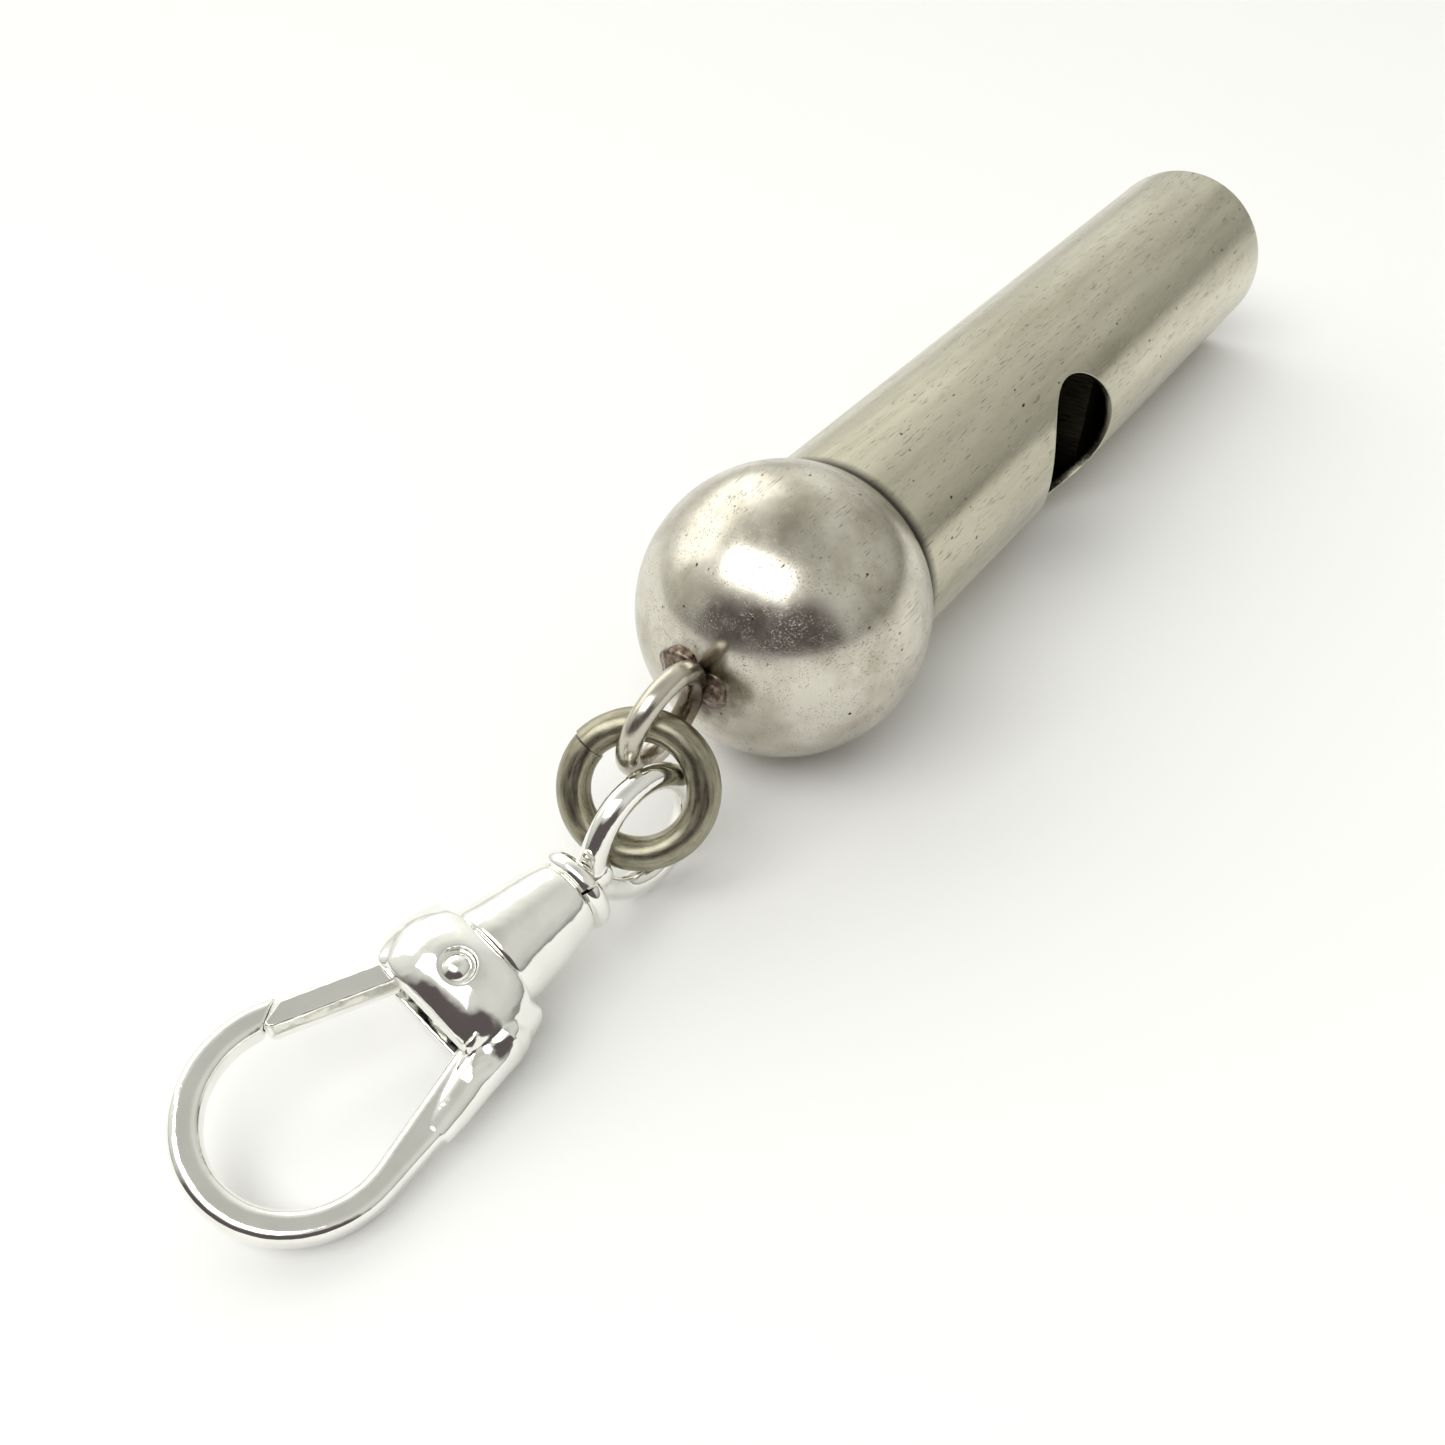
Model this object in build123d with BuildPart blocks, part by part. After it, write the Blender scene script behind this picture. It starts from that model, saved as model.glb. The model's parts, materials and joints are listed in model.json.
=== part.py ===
from build123d import *
import os
from math import acos, asin, atan2, cos, degrees, hypot, radians, sin, tan

# Pocket whistle: a plain tube with a round sounding window and a hollow ball end. A wire loop on
# the ball carries a split ring, and the ring carries a swivel clasp with a sprung gate.
# Millimetres, +Z up, as it lies on a table: +X points to the mouth end of the whistle.

# ---- whistle ----
ball_r = 6.75
ball_wall = 0.5
tube_r = 5.26
tube_wall = 0.4
whistle_len = 47.6          # ball centre to mouth end
tube_depth = 1.9            # how far the tube goes on inside the ball's opening
ball_gap = 0.06             # round the tube's spigot, in the ball's opening
spigot_step = 0.2           # how far the tube is turned down inside the ball's opening
shoulder_gap = 0.05         # between the tube's shoulder and the ball's front edge
press_gap = 0.01            # round a pressed-in disc or block
stopper_thick = 0.8
window_x = 20.9             # ball centre to window centre
window_r = 3.8
window_turn = 95.0          # degrees from straight up, round the tube to the near side
windway_h = 1.1
block_setback = 0.4         # windway block's face behind the mouth rim
mouth_round = 0.14

# ---- loop and its solder on the ball ----
loop_in_r = 1.73
loop_wire_r = 0.52
loop_mid_r = loop_in_r + loop_wire_r
loop_bite = 0.25            # how far the wire is let into the ball's surface
loop_turn = 15.0            # the loop's plane, in degrees from upright
solder_r = 0.95
solder_out = 0.62           # lump centre to the loop's plane

# ---- split ring: hangs from the loop's centre, along, across and up from the whistle's own axis ----
ring_in_r = 1.99
ring_wire_r = 0.73
ring_mid_r = ring_in_r + ring_wire_r
ring_along, ring_across, ring_up = -2.231, -0.31, -2.071
ring_azimuth, ring_slope = 211.26, 33.47
ring_split = 0.05
ring_split_at = 247.0       # degrees round the ring

# ---- clasp: where its pivot pin lies from the loop's centre, and how it is turned ----
clasp_along, clasp_across, clasp_up = -12.791, 0.63, -4.773
clasp_yaw, clasp_rise, clasp_roll = -8.42, 5.77, 20.26

# ---- swivel eye, turning in the barrel ----
eye_in_r = 2.04
eye_wire_r = 0.58
eye_mid_r = eye_in_r + eye_wire_r
eye_x = 10.1                # pin to eye centre
eye_turn = 0.56            # the eye's plane, in degrees from upright
stem_r = 0.62
stem_gap = 0.06
knot_r = 0.7                # where the stem swells into the eye
head_r = 1.15
head_thick = 0.5
head_gap = 0.05             # between the stem's head and the barrel's end wall

# ---- barrel and its bead ----
barrel_start = 1.6
barrel_end = 5.75
barrel_wide_r = 2.32
barrel_narrow_r = 1.72
barrel_wall = 0.42
barrel_end_wall = 0.7
neck_r = 0.98
bead_wire_r = 0.44
bead_slit = 0.12
bead_slit_at = 118.0        # degrees round the bead

# ---- band: the bulged knuckle that holds hook, gate, pin and spring ----
band_front = 1.7            # pin to front face
band_half_width = 3.45
band_half_thick = 2.35
band_round = 0.35
mouth_half_h = 0.72
mouth_right = 2.25
mouth_left = 2.62
mouth_open_x = 0.85         # in front of this the mouth is open on the gate's side

# ---- fixed hook ----
hook_mid_r = 3.95
hook_x, hook_y = -7.25, 0.15
hook_wire_w = 1.2
hook_root_w = 1.95
hook_thick = 1.3
hook_round = 0.42
bow_start = 58.0            # degrees round the bow, before the tip is mitred off
hook_root_x, hook_root_y = -1.25, -2.75

# ---- gate, its pin and its spring ----
gate_w = 1.36
gate_thick = 1.3
gate_round = 0.3
gate_slope = 20.0           # degrees
gate_offset = 1.45          # gate's middle line to the pin
gate_end = 6.75             # pin to the middle of the gate's end, along the gate
hub_r = 1.12
hub_gap = 0.1               # behind the hub, in the mouth
pin_r = 0.45
pin_gap = 0.04
pin_seat_r = 0.72
pin_seat_depth = 0.16
pin_dome_r = 0.56
pin_dome_h = 0.3
tip_gap = 0.08              # between gate end and hook tip
mitre = 38.0                # degrees the joint leans from square
spring_gap = 0.08
spring_thick = 0.22
spring_w = 1.0
spring_from, spring_sweep = 212.0, 96.0   # degrees round the hub


def across(frame, x):
    """Plane square to a frame's long axis at x: sketch x is the frame's y, sketch y its z."""
    return Plane(frame.from_local_coords((x, 0, 0)), x_dir=frame.y_dir, z_dir=frame.x_dir)


def above(frame, z):
    """Plane parallel to a frame's x and y, at height z."""
    return Plane(frame.from_local_coords((0, 0, z)), x_dir=frame.x_dir, z_dir=frame.z_dir)


def section(frame):
    """Plane through a frame's long axis, for turned profiles: sketch x along it, y outwards."""
    return Plane(frame.origin, x_dir=frame.x_dir, z_dir=-frame.y_dir)


def long_axis(frame):
    return Axis(frame.origin, frame.x_dir)


def turned(frame, about, angle):
    """Copy of a frame, turned by degrees about a direction through its origin."""
    pivot = Axis((0, 0, 0), about)
    return Plane(frame.origin, x_dir=frame.x_dir.rotate(pivot, angle), z_dir=frame.z_dir.rotate(pivot, angle))


def heading(azimuth, rise):
    """Unit direction from an angle round Z and an angle up from level, in degrees."""
    level = cos(radians(rise))
    return (level * cos(radians(azimuth)), level * sin(radians(azimuth)), sin(radians(rise)))


# ---- frames ----
tilt = degrees(asin((ball_r - tube_r) / whistle_len))
whistle = Plane((0, 0, ball_r), x_dir=heading(0, -tilt), z_dir=heading(0, 90 - tilt))
windowed = turned(whistle, whistle.x_dir, window_turn)
soldered = turned(whistle, whistle.x_dir, loop_turn)
loop_out = ball_r + loop_mid_r + loop_wire_r - loop_bite
looped = Plane(whistle.from_local_coords((-loop_out, 0, 0)), x_dir=whistle.x_dir, z_dir=soldered.y_dir)
chained = Plane(looped.origin, x_dir=whistle.x_dir, z_dir=whistle.z_dir)
ring_place = Plane((ring_along, ring_across, ring_up), z_dir=heading(ring_azimuth, ring_slope))
ringed = Plane(chained.location * ring_place.location)
clasp_place = Plane(
    (clasp_along, clasp_across, clasp_up),
    x_dir=heading(clasp_yaw, clasp_rise),
    z_dir=heading(clasp_yaw, clasp_rise + 90),
)
level_clasp = Plane(chained.location * clasp_place.location)
clasp = turned(level_clasp, level_clasp.x_dir, clasp_roll)
eyed = Plane(
    level_clasp.from_local_coords((eye_x, 0, 0)),
    x_dir=level_clasp.x_dir,
    z_dir=turned(level_clasp, level_clasp.x_dir, eye_turn).y_dir,
)
gated = turned(clasp, clasp.z_dir, 180 - gate_slope)
level_gate = turned(Plane.XY, (0, 0, 1), 180 - gate_slope)
mitre_lean = radians(mitre)
tip_step = tip_gap / cos(mitre_lean)

# ---- whistle tube: drawn tube, a spigot turned on its ball end, window drilled into its side ----
spigot_r = tube_r - spigot_step
ball_front_edge = (ball_r**2 - (spigot_r + ball_gap) ** 2) ** 0.5
shoulder_x = ball_front_edge + shoulder_gap
tube_start = ball_front_edge - tube_depth
bore_r = tube_r - tube_wall
with BuildPart() as whistle_tube:
    with BuildSketch(section(whistle)):
        with BuildLine():
            Polyline(
                (tube_start, bore_r),
                (tube_start, spigot_r),
                (shoulder_x, spigot_r),
                (shoulder_x, tube_r),
                (whistle_len, tube_r),
                (whistle_len, bore_r),
                close=True,
            )
        make_face()
    revolve(axis=long_axis(whistle))
    fillet(whistle_tube.edges().sort_by(long_axis(whistle))[-2:], mouth_round)
    with BuildSketch(above(windowed, 0)):
        with Locations((window_x, 0)):
            Circle(window_r)
    extrude(amount=tube_r + 1, mode=Mode.SUBTRACT)

# ---- windway block: a D-shaped plug that leaves a flat air slot on the window's side ----
block_start = window_x + window_r
with BuildPart() as windway_block:
    with BuildSketch(across(windowed, block_start)):
        Circle(bore_r - press_gap)
        with Locations((0, bore_r)):
            Rectangle(2 * bore_r, 2 * windway_h, mode=Mode.SUBTRACT)
    extrude(amount=whistle_len - block_setback - block_start)

# ---- tube stopper: a disc pressed into the ball end of the tube ----
with BuildPart() as tube_stopper:
    with BuildSketch(across(whistle, tube_start + tube_wall)):
        Circle(bore_r - press_gap)
    extrude(amount=stopper_thick)

# ---- ball: two pressed half shells, butted at the middle; the front one has the tube's opening ----
with BuildPart(whistle) as ball_front:
    Sphere(ball_r)
    Sphere(ball_r - ball_wall, mode=Mode.SUBTRACT)
    split(bisect_by=across(whistle, 0), keep=Keep.TOP)
    with BuildSketch(across(whistle, 0)):
        Circle(spigot_r + ball_gap)
    extrude(amount=ball_r, mode=Mode.SUBTRACT)

with BuildPart(whistle) as ball_rear:
    Sphere(ball_r)
    Sphere(ball_r - ball_wall, mode=Mode.SUBTRACT)
    split(bisect_by=across(whistle, 0), keep=Keep.BOTTOM)

# ---- ball loop: a closed wire ring, its inner side let into the ball and soldered down ----
with BuildPart(looped) as ball_loop:
    Torus(loop_mid_r, loop_wire_r)
    with Locations((loop_out, 0, 0)):
        Sphere(ball_r, mode=Mode.SUBTRACT)


# ---- solder: one lump each side of the loop's foot ----
lump_side = Plane(whistle.origin, x_dir=whistle.x_dir, z_dir=soldered.y_dir)


def solder_lump(side):
    with BuildPart(soldered) as lump:
        with Locations((-ball_r, side * solder_out, 0)):
            Sphere(solder_r)
        Sphere(ball_r, mode=Mode.SUBTRACT)
        with Locations(Location((-loop_out, 0, 0), (90, 0, 0))):
            Torus(loop_mid_r, loop_wire_r, mode=Mode.SUBTRACT)
        split(bisect_by=lump_side, keep=Keep.TOP if side > 0 else Keep.BOTTOM)
    return lump


solder_near = solder_lump(-1)
solder_far = solder_lump(1)

# ---- jump ring: bent from wire, its two ends butted ----
with BuildPart(ringed) as jump_ring:
    Torus(ring_mid_r, ring_wire_r)
    with Locations(Location((0, 0, 0), (0, 0, ring_split_at))):
        with Locations((ring_mid_r, 0, 0)):
            Box(3 * ring_wire_r, ring_split, 3 * ring_wire_r, mode=Mode.SUBTRACT)

# ---- swivel eye: a wire eye on a stem, the stem's inner end upset into a head ----
head_x = barrel_end - barrel_end_wall - head_gap - head_thick
with BuildPart(eyed) as swivel_eye:
    Torus(eye_mid_r, eye_wire_r)
    with Locations((-eye_mid_r, 0, 0)):
        Sphere(knot_r)
    with BuildSketch(across(level_clasp, head_x)):
        Circle(stem_r)
    extrude(amount=eye_x - eye_mid_r - head_x)
    with BuildSketch(across(level_clasp, head_x)):
        Circle(head_r)
    extrude(amount=head_thick)

# ---- barrel: a tapered tube, closed round the stem, with a short neck for the bead ----
neck_end = barrel_end + 2 * bead_wire_r
with BuildPart() as barrel:
    with BuildSketch(section(clasp)):
        with BuildLine():
            Polyline(
                (barrel_start, barrel_wide_r - barrel_wall),
                (barrel_start, barrel_wide_r),
                (barrel_end, barrel_narrow_r),
                (barrel_end, neck_r),
                (neck_end, neck_r),
                (neck_end, stem_r + stem_gap),
                (barrel_end - barrel_end_wall, stem_r + stem_gap),
                (barrel_end - barrel_end_wall, barrel_narrow_r - barrel_wall),
                close=True,
            )
        make_face()
    revolve(axis=long_axis(clasp))

# ---- bead: a ring of wire sprung round the barrel's neck, its ends not quite meeting ----
bead_mid_r = neck_r + bead_wire_r
with BuildPart(across(clasp, barrel_end + bead_wire_r)) as bead:
    Torus(bead_mid_r, bead_wire_r)
    with Locations(Location((0, 0, 0), (0, 0, bead_slit_at))):
        with Locations((bead_mid_r, 0, 0)):
            Box(3 * bead_wire_r, bead_slit, 3 * bead_wire_r, mode=Mode.SUBTRACT)

# ---- fixed hook: a round bow on a leg that thickens to its root, drawn level ----

def tangent_angle(point, radius):
    """Where a line from a point touches the bow's circle on its lower side, degrees round the bow."""
    dx, dy = point[0] - hook_x, point[1] - hook_y
    return degrees(atan2(dy, dx) - acos(radius / hypot(dx, dy)))


bow_out = hook_mid_r + hook_wire_w / 2
bow_in = hook_mid_r - hook_wire_w / 2
root_out = (hook_root_x, hook_root_y - hook_root_w / 2)
root_in = (hook_root_x, hook_root_y + hook_root_w / 2)
out_end = tangent_angle(root_out, bow_out)
in_end = tangent_angle(root_in, bow_in)
with BuildPart() as hook:
    with BuildSketch():
        with BuildLine():
            outer = CenterArc((hook_x, hook_y), bow_out, bow_start, out_end + 360 - bow_start)
            inner = CenterArc((hook_x, hook_y), bow_in, bow_start, in_end + 360 - bow_start)
            Line(outer @ 0, inner @ 0)
            Polyline(outer @ 1, root_out, root_in, inner @ 1)
        make_face()
    extrude(amount=hook_thick / 2, both=True)
    fillet(hook.edges().filter_by(Axis.Z, reverse=True), hook_round)
    with BuildSketch(above(level_gate, -hook_thick)):
        with BuildLine():
            Polyline(
                (gate_end + tip_step - 3 * tan(mitre_lean), -gate_offset - 3),
                (gate_end + tip_step + 3 * tan(mitre_lean), -gate_offset + 3),
                (0, -gate_offset + 3),
                (0, -gate_offset - 3),
                close=True,
            )
        make_face()
    extrude(amount=2 * hook_thick, mode=Mode.SUBTRACT)

# ---- hook body: a bulged oval knuckle with a mouth across its front, cast in one with the hook ----
with BuildPart() as hook_body:
    with BuildSketch(across(clasp, -band_front)):
        Ellipse(0.86 * band_half_width, 0.8 * band_half_thick)
    with BuildSketch(across(clasp, 0)):
        Ellipse(band_half_width, band_half_thick)
    with BuildSketch(across(clasp, barrel_start)):
        Ellipse(0.9 * band_half_width, band_half_thick)
    loft()
    fillet(hook_body.edges().group_by(long_axis(clasp))[0], band_round)
    with BuildSketch(above(clasp, -mouth_half_h)):
        with BuildLine():
            Polyline(
                (-band_front - 1, -mouth_right),
                (hub_r + hub_gap, -mouth_right),
                (hub_r + hub_gap, mouth_left),
                (-mouth_open_x, mouth_left),
                (-mouth_open_x, band_half_width + 1),
                (-band_front - 1, band_half_width + 1),
                close=True,
            )
        make_face()
    extrude(amount=2 * mouth_half_h, mode=Mode.SUBTRACT)
    add(hook.part.moved(clasp.location))
    with BuildSketch(above(clasp, -band_half_thick)):
        Circle(pin_r + press_gap)
    extrude(amount=2 * band_half_thick, mode=Mode.SUBTRACT)
    for face in (1, -1):
        with BuildSketch(above(clasp, face * (band_half_thick - pin_seat_depth))):
            Circle(pin_seat_r)
        extrude(amount=face * band_half_thick, mode=Mode.SUBTRACT)

# ---- gate pin: passes through knuckle and gate, its two ends domed over in the knuckle's seats ----
pin_end = band_half_thick - pin_seat_depth
dome_ball_r = (pin_dome_r**2 + pin_dome_h**2) / (2 * pin_dome_h)
dome_centre = pin_end + pin_dome_h - dome_ball_r
dome_angle = degrees(asin(pin_dome_r / dome_ball_r))
pin_axis = Axis(clasp.origin, clasp.z_dir)
with BuildPart() as gate_pin:
    with BuildSketch(Plane(clasp.origin, x_dir=clasp.z_dir, z_dir=clasp.y_dir)):
        with BuildLine():
            CenterArc((dome_centre, 0), dome_ball_r, 0, dome_angle)
            Polyline((pin_end, pin_dome_r), (pin_end, pin_r), (-pin_end, pin_r), (-pin_end, pin_dome_r))
            CenterArc((-dome_centre, 0), dome_ball_r, 180 - dome_angle, dome_angle)
            Line((-pin_end - pin_dome_h, 0), (pin_end + pin_dome_h, 0))
        make_face()
    revolve(axis=pin_axis)

# ---- gate: a flat lever with a round hub, mitred where it shuts behind the hook's tip ----
with BuildPart() as gate:
    with BuildSketch(above(gated, 0)):
        with BuildLine():
            Polyline(
                (0, -gate_offset - gate_w / 2),
                (gate_end - gate_w / 2 * tan(mitre_lean), -gate_offset - gate_w / 2),
                (gate_end + gate_w / 2 * tan(mitre_lean), -gate_offset + gate_w / 2),
                (0, -gate_offset + gate_w / 2),
                close=True,
            )
        make_face()
        Circle(hub_r)
    extrude(amount=gate_thick / 2, both=True)
    fillet(gate.edges().group_by(Axis(gated.origin, gated.x_dir))[-1], gate_round)
    with BuildSketch(above(gated, -gate_thick / 2)):
        Circle(pin_r + pin_gap)
    extrude(amount=gate_thick, mode=Mode.SUBTRACT)

# ---- gate spring: a strip bent round the hub, its root end against the back of the mouth ----
spring_in = hub_r + spring_gap
spring_out = spring_in + spring_thick
with BuildPart() as gate_spring:
    with BuildSketch(above(clasp, 0)):
        with BuildLine():
            inner = CenterArc((0, 0), spring_in, spring_from, spring_sweep)
            outer = CenterArc((0, 0), spring_out, spring_from, spring_sweep)
            Line(inner @ 0, outer @ 0)
            Line(inner @ 1, outer @ 1)
        make_face()
    extrude(amount=spring_w / 2, both=True)

# ---- the whole is moved so that it stands on Z = 0, centred over the origin ----
pieces = {
    "whistle_tube": whistle_tube,
    "windway_block": windway_block,
    "tube_stopper": tube_stopper,
    "ball_front": ball_front,
    "ball_rear": ball_rear,
    "ball_loop": ball_loop,
    "solder_near": solder_near,
    "solder_far": solder_far,
    "jump_ring": jump_ring,
    "swivel_eye": swivel_eye,
    "barrel": barrel,
    "bead": bead,
    "hook_body": hook_body,
    "gate": gate,
    "gate_pin": gate_pin,
    "gate_spring": gate_spring,
}
whole = Compound([piece.part for piece in pieces.values()]).bounding_box()
to_origin = Location((-whole.center().X, -whole.center().Y, -whole.min.Z))

os.makedirs("parts", exist_ok=True)
for name, piece in pieces.items():
    piece.part.label = name
    export_step(piece.part.moved(to_origin), f"parts/{name}.step")
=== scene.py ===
import json
from math import asin, atan2, cos, degrees, pi, radians, sin, sqrt

import bmesh
import bpy
import numpy as np
from mathutils import Matrix, Vector


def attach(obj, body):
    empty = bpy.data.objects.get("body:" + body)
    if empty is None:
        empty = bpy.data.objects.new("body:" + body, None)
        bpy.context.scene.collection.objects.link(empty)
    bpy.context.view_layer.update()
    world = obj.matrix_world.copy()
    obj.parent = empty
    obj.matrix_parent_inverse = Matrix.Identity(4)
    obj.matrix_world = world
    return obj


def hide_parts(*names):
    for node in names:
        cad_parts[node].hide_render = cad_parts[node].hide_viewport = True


# A pocket whistle of old silver with a ball end, carried on a swivel clasp. Lengths are in mm in
# each section and go into the meshes in metres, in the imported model's own frame.

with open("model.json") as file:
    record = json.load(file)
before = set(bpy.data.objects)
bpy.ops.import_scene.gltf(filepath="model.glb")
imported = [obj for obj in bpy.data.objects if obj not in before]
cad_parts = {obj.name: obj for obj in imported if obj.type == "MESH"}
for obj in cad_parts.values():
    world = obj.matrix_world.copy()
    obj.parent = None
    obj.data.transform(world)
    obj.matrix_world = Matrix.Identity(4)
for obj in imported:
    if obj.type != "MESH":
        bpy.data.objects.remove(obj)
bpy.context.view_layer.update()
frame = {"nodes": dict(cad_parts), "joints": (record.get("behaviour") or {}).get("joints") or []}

# ---- ball: a hollow silver ball, pressed in halves and soldered, its front opened for the tube.
# ---- The open edge is rolled in, so it shows a thin bright lip round the tube. Old soft silver,
# ---- polished by handling: shallow dents, hairline scratches and pits that hold black tarnish.

MM = 0.001
ball_r, ball_wall = 6.75, 0.5
opening_r, lip_r = 5.32, 0.13
ball_centre = Vector((-6.925, 0.0, ball_r))
# ball and tube both rest on the table, so the tube slopes down to its mouth
tube_r, tube_to = 5.26, 47.6
tube_tilt = asin((ball_r - tube_r) / tube_to)
along_tube = Vector((cos(tube_tilt), 0.0, -sin(tube_tilt)))


def axes(origin, x_axis, z_hint):
    """Local axes with x along one direction and z as near as it goes to another, in mm."""
    x_dir = Vector(x_axis).normalized()
    y_dir = Vector(z_hint).cross(x_dir).normalized()
    z_dir = x_dir.cross(y_dir)
    turn = Matrix((x_dir, y_dir, z_dir)).transposed().to_4x4()
    return Matrix.Translation(origin) @ turn


def as_object(name, mesh, sharp_angle=None):
    """Link a mesh as an object at the origin, shaded smooth, creases kept above an angle."""
    mesh.shade_smooth()
    if sharp_angle is not None:
        mesh.set_sharp_from_angle(angle=radians(sharp_angle))
    made = bpy.data.objects.new(name, mesh)
    bpy.context.scene.collection.objects.link(made)
    return made


def turned_piece(name, outline, place, steps=256, sharp_angle=40):
    """Turn an outline of (along, out) points round the local x axis, poles closed to one point."""
    points, rows = [], []
    for along, out in outline:
        if out < 1e-6:
            rows.append([len(points)] * steps)
            points.append(place @ Vector((along, 0, 0)) * MM)
        else:
            rows.append(list(range(len(points), len(points) + steps)))
            for step in range(steps):
                turn = 2 * pi * step / steps
                points.append(place @ Vector((along, out * cos(turn), out * sin(turn))) * MM)
    faces = []
    for low, high in zip(rows, rows[1:]):
        for step in range(steps):
            after = (step + 1) % steps
            corners = []
            for corner in (low[step], high[step], high[after], low[after]):
                if corner not in corners:
                    corners.append(corner)
            if len(corners) > 2:
                faces.append(corners)
    mesh = bpy.data.meshes.new(name)
    mesh.from_pydata(points, [], faces)
    outward(mesh)
    return as_object(name, mesh, sharp_angle)


def outward(mesh):
    """Merge doubles and turn every face outwards."""
    build = bmesh.new()
    build.from_mesh(mesh)
    bmesh.ops.remove_doubles(build, verts=build.verts, dist=1e-8)
    bmesh.ops.recalc_face_normals(build, faces=build.faces)
    build.to_mesh(mesh)
    build.free()


def arc(centre, radius, start, end, steps):
    """Points of an arc in the outline's plane, degrees from the along direction."""
    turns = [radians(start + (end - start) * i / steps) for i in range(steps + 1)]
    return [(centre[0] + radius * cos(t), centre[1] + radius * sin(t)) for t in turns]


whistle_axes = axes(ball_centre, along_tube, (0, 0, 1))
lip_out = opening_r + lip_r
lip_turn = degrees(asin(lip_out / (ball_r - lip_r)))
lip_along = (ball_r - lip_r) * cos(radians(lip_turn))
inner_r = ball_r - ball_wall
inner_turn = degrees(asin(opening_r / inner_r))
outer_steps, lip_steps, inner_steps = 150, 8, 60
ball_outline = (
    arc((0, 0), ball_r, 180, lip_turn, outer_steps)
    + arc((lip_along, lip_out), lip_r, lip_turn, -90, lip_steps)[1:]
    + arc((0, 0), inner_r, inner_turn, 180, inner_steps)
)
ball_outline[0] = (-ball_r, 0)
ball_outline[-1] = (-inner_r, 0)
ball = turned_piece("silver_ball", ball_outline, whistle_axes)


def linear(hex_colour):
    """sRGB hex to the linear colour that the shader takes."""
    parts = [int(hex_colour[i : i + 2], 16) / 255 for i in (0, 2, 4)]
    return tuple(
        p / 12.92 if p <= 0.04045 else ((p + 0.055) / 1.055) ** 2.4 for p in parts
    ) + (1.0,)


def add_node(tree, kind, settings=None, **links):
    """Add a shader node, set its fields, and set or link its inputs by name (spaces as _)."""
    made = tree.nodes.new(kind)
    for field, value in (settings or {}).items():
        setattr(made, field, value)
    for name, value in links.items():
        key = int(name[1:]) if name[0] == "i" and name[1:].isdigit() else name.replace("_", " ")
        socket = made.inputs[key]
        if isinstance(value, bpy.types.NodeSocket):
            tree.links.new(value, socket)
        else:
            socket.default_value = value
    return made


def metal(name, roughness=None):
    """Start a metal: its shader with metallic 1 and the default IOR, and Object coordinates."""
    made = bpy.data.materials.new(name)
    made.use_nodes = True
    tree = made.node_tree
    shader = tree.nodes["Principled BSDF"]
    shader.inputs["Metallic"].default_value = 1.0
    if roughness is not None:
        shader.inputs["Roughness"].default_value = roughness
    where = add_node(tree, "ShaderNodeTexCoord").outputs["Object"]
    return made, tree, shader, where


def ramp(tree, factor, stops):
    """Colour ramp from (position, hex or grey) stops."""
    made = add_node(tree, "ShaderNodeValToRGB", Fac=factor)
    while len(made.color_ramp.elements) < len(stops):
        made.color_ramp.elements.new(0.5)
    for element, (position, colour) in zip(made.color_ramp.elements, stops):
        element.position = position
        element.color = linear(colour) if isinstance(colour, str) else (colour,) * 3 + (1.0,)
    return made.outputs["Color"]


def blended(tree, factor, first, second, blend="MIX"):
    """Mix two colours."""
    made = add_node(tree, "ShaderNodeMix", {"data_type": "RGBA", "blend_type": blend})
    for index, value in ((0, factor), (6, first), (7, second)):
        if isinstance(value, bpy.types.NodeSocket):
            tree.links.new(value, made.inputs[index])
        else:
            made.inputs[index].default_value = value
    return made.outputs[2]


def noise(tree, where, size_mm, detail=3.0, roughness=0.5, stretch=(1, 1, 1), turn=(0, 0, 0)):
    """Noise whose grains are about size_mm across, stretched by a factor on each axis."""
    grain = 1 / (size_mm * MM)
    scale = tuple(grain / s for s in stretch)
    spot = add_node(tree, "ShaderNodeMapping", Vector=where, Scale=scale, Rotation=turn)
    made = add_node(
        tree,
        "ShaderNodeTexNoise",
        Vector=spot.outputs[0],
        Scale=1.0,
        Detail=detail,
        Roughness=roughness,
    )
    return made.outputs["Fac"]


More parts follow.
